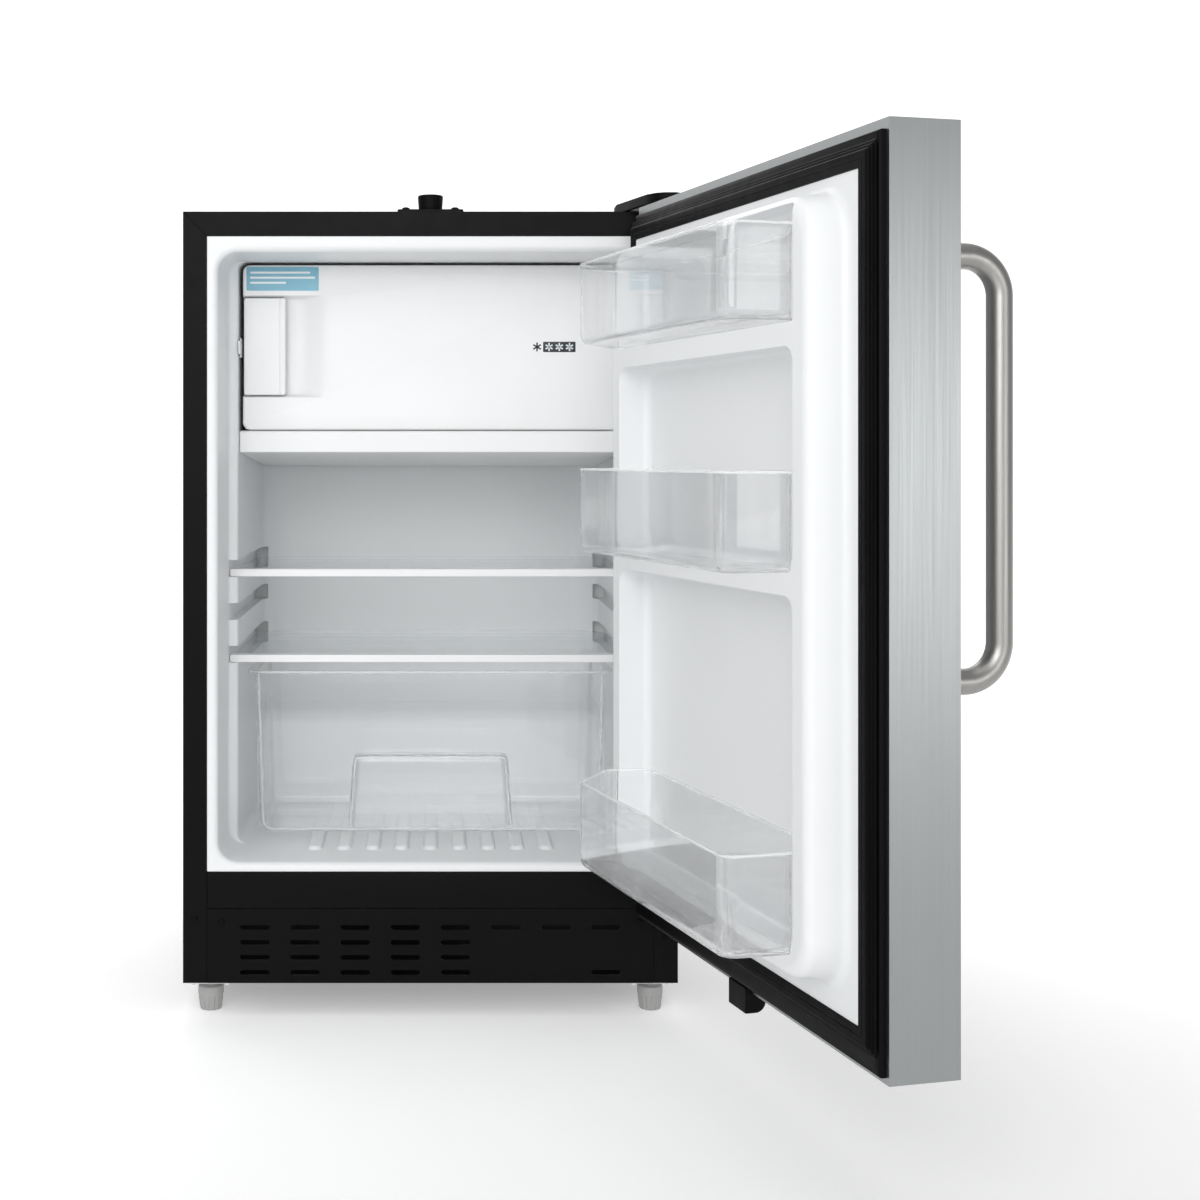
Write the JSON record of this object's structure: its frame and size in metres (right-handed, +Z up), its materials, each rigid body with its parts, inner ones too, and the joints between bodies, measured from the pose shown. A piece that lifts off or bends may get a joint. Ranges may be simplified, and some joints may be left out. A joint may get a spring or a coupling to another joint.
{
  "type": "mini fridge",
  "caption": "Under-counter fridge with a freezer box, towel-bar door, glass shelves, clear crisper and door bins, shown with its door open.",
  "frame": {"origin": "middle of the floor area under the fridge with its door open as stored", "axes": "+Z up, +Y towards the cabinet's back, +X to the right of a person facing the cabinet"},
  "size_m": [0.6952, 0.9824, 0.8311],
  "materials": {
    "black_steel": "satin black coil-coated steel",
    "black_plastic": "fine-grained black moulding",
    "white_liner": "glossy white thermoformed lining",
    "white_moulding": "glossy white moulding",
    "stainless": "brushed stainless wrap, grain across the door",
    "bar_steel": "brushed stainless tube",
    "zinc": "zinc-plated pressing",
    "gasket": "black magnetic bellows seal",
    "grey_gasket": "pale grey soft seal",
    "foam": "rigid insulation foam",
    "aluminium": "roll-bonded plate",
    "clear_plastic": "clear moulded polystyrene",
    "shelf_glass": "toughened float glass",
    "foot_grey": "grey moulded nylon",
    "black_wire": "black enamelled tube and wire",
    "compressor_black": "semi-gloss black enamel"
  },
  "bodies": {
    "cabinet": {"outer_shell": "black_steel", "back_panel": "black_steel", "base_pan": "black_steel", "insulation_base_plate": "zinc", "front_fascia": "black_steel", "kick_grille": "black_plastic", "rim_screw_left": "black_steel", "rim_screw_right": "black_steel", "grille_screw_left": "black_steel", "grille_screw_right": "black_steel", "inner_liner": "white_liner", "foam_insulation": "foam", "freezer_divider": "white_moulding", "evaporator_plate": "aluminium", "freezer_catch": "white_moulding", "thermostat_housing": "white_moulding", "top_hinge": "zinc", "top_hinge_cover": "black_plastic", "bottom_hinge": "black_steel", "counter_stop_plate": "black_steel", "counter_stop_screw_left": "black_steel", "counter_stop_screw_right": "black_steel", "compressor": "compressor_black", "start_relay_box": "black_plastic", "drain_pan": "black_plastic", "condenser_coil": "black_wire", "supply_gland": "black_plastic", "freezer_pin_lower": "zinc", "freezer_pin_upper": "zinc", "foot_plate_front_left": "zinc", "foot_plate_front_right": "zinc", "foot_plate_rear_left": "zinc", "foot_plate_rear_right": "zinc"},
    "main_door": {"door_skin": "stainless", "door_bush_lower": "black_plastic", "door_bush_upper": "black_plastic", "door_inner_frame": "black_plastic", "door_gasket": "gasket", "door_liner": "white_liner", "door_foam": "foam", "door_handle": "bar_steel", "toe_tab": "black_plastic"},
    "upper_bin": {"upper_door_bin": "clear_plastic"},
    "middle_bin": {"middle_door_bin": "clear_plastic"},
    "lower_bin": {"lower_door_bin": "clear_plastic"},
    "freezer_door_body": {"freezer_door": "white_moulding", "freezer_gasket": "grey_gasket"},
    "latch_lever": {"freezer_latch": "white_moulding"},
    "upper_shelf": {"upper_shelf_glass": "shelf_glass", "upper_shelf_trim": "white_moulding"},
    "lower_shelf": {"lower_shelf_glass": "shelf_glass", "lower_shelf_trim": "white_moulding"},
    "crisper": {"crisper_drawer": "clear_plastic"},
    "cold_control": {"thermostat_knob": "white_moulding"},
    "counter_stop": {"counter_stop_knob": "black_plastic"},
    "front_left_foot": {"foot_front_left": "foot_grey"},
    "front_right_foot": {"foot_front_right": "foot_grey"},
    "rear_left_foot": {"foot_rear_left": "foot_grey"},
    "rear_right_foot": {"foot_rear_right": "foot_grey"}
  },
  "joints": [
    {"name": "main_door_hinge", "type": "hinge", "parent": "cabinet", "child": "main_door", "pos_m": [0.1374, -0.01539, 0.46], "axis": [0, 0, 1], "range_deg": [-104.5, 15.5]},
    {"name": "upper_bin_lift", "type": "slide", "parent": "main_door", "child": "upper_bin", "axis": [0, 0, 1], "range_m": [0, 0.012]},
    {"name": "middle_bin_lift", "type": "slide", "parent": "main_door", "child": "middle_bin", "axis": [0, 0, 1], "range_m": [0, 0.012]},
    {"name": "lower_bin_lift", "type": "slide", "parent": "main_door", "child": "lower_bin", "axis": [0, 0, 1], "range_m": [0, 0.012]},
    {"name": "freezer_door_hinge", "type": "hinge", "parent": "cabinet", "child": "freezer_door_body", "pos_m": [0.0964, 0.12961, 0.68], "axis": [0, 0, 1], "range_deg": [0, 65]},
    {"name": "freezer_latch_pull", "type": "hinge", "parent": "freezer_door_body", "child": "latch_lever", "pos_m": [-0.2876, 0.12861, 0.682], "axis": [0, 0, -1], "range_deg": [0, 12], "stiffness_Nm_per_rad": 0.6, "springref_deg": -2.86},
    {"name": "upper_shelf_slide", "type": "slide", "parent": "cabinet", "child": "upper_shelf", "axis": [0, -1, 0], "range_m": [0, 0.115]},
    {"name": "lower_shelf_slide", "type": "slide", "parent": "cabinet", "child": "lower_shelf", "axis": [0, -1, 0], "range_m": [0, 0.115]},
    {"name": "crisper_slide", "type": "slide", "parent": "cabinet", "child": "crisper", "axis": [0, -1, 0], "range_m": [0, 0.1]},
    {"name": "cold_control_turn", "type": "hinge", "parent": "cabinet", "child": "cold_control", "pos_m": [0.0784, 0.20461, 0.503], "axis": [-1, 0, 0], "range_deg": [0, 270]},
    {"name": "counter_stop_turn", "type": "hinge", "parent": "cabinet", "child": "counter_stop", "pos_m": [-0.0976, 0.04061, 0.82], "axis": [0, 0, 1], "continuous": true},
    {"name": "front_left_foot_turn", "type": "hinge", "parent": "cabinet", "child": "front_left_foot", "pos_m": [-0.3226, 0.05161, 0.015], "axis": [0, 0, 1], "continuous": true},
    {"name": "front_right_foot_turn", "type": "hinge", "parent": "cabinet", "child": "front_right_foot", "pos_m": [0.1274, 0.05161, 0.015], "axis": [0, 0, 1], "continuous": true},
    {"name": "rear_left_foot_turn", "type": "hinge", "parent": "cabinet", "child": "rear_left_foot", "pos_m": [-0.3226, 0.42361, 0.015], "axis": [0, 0, 1], "continuous": true},
    {"name": "rear_right_foot_turn", "type": "hinge", "parent": "cabinet", "child": "rear_right_foot", "pos_m": [0.1274, 0.42361, 0.015], "axis": [0, 0, 1], "continuous": true}
  ]
}
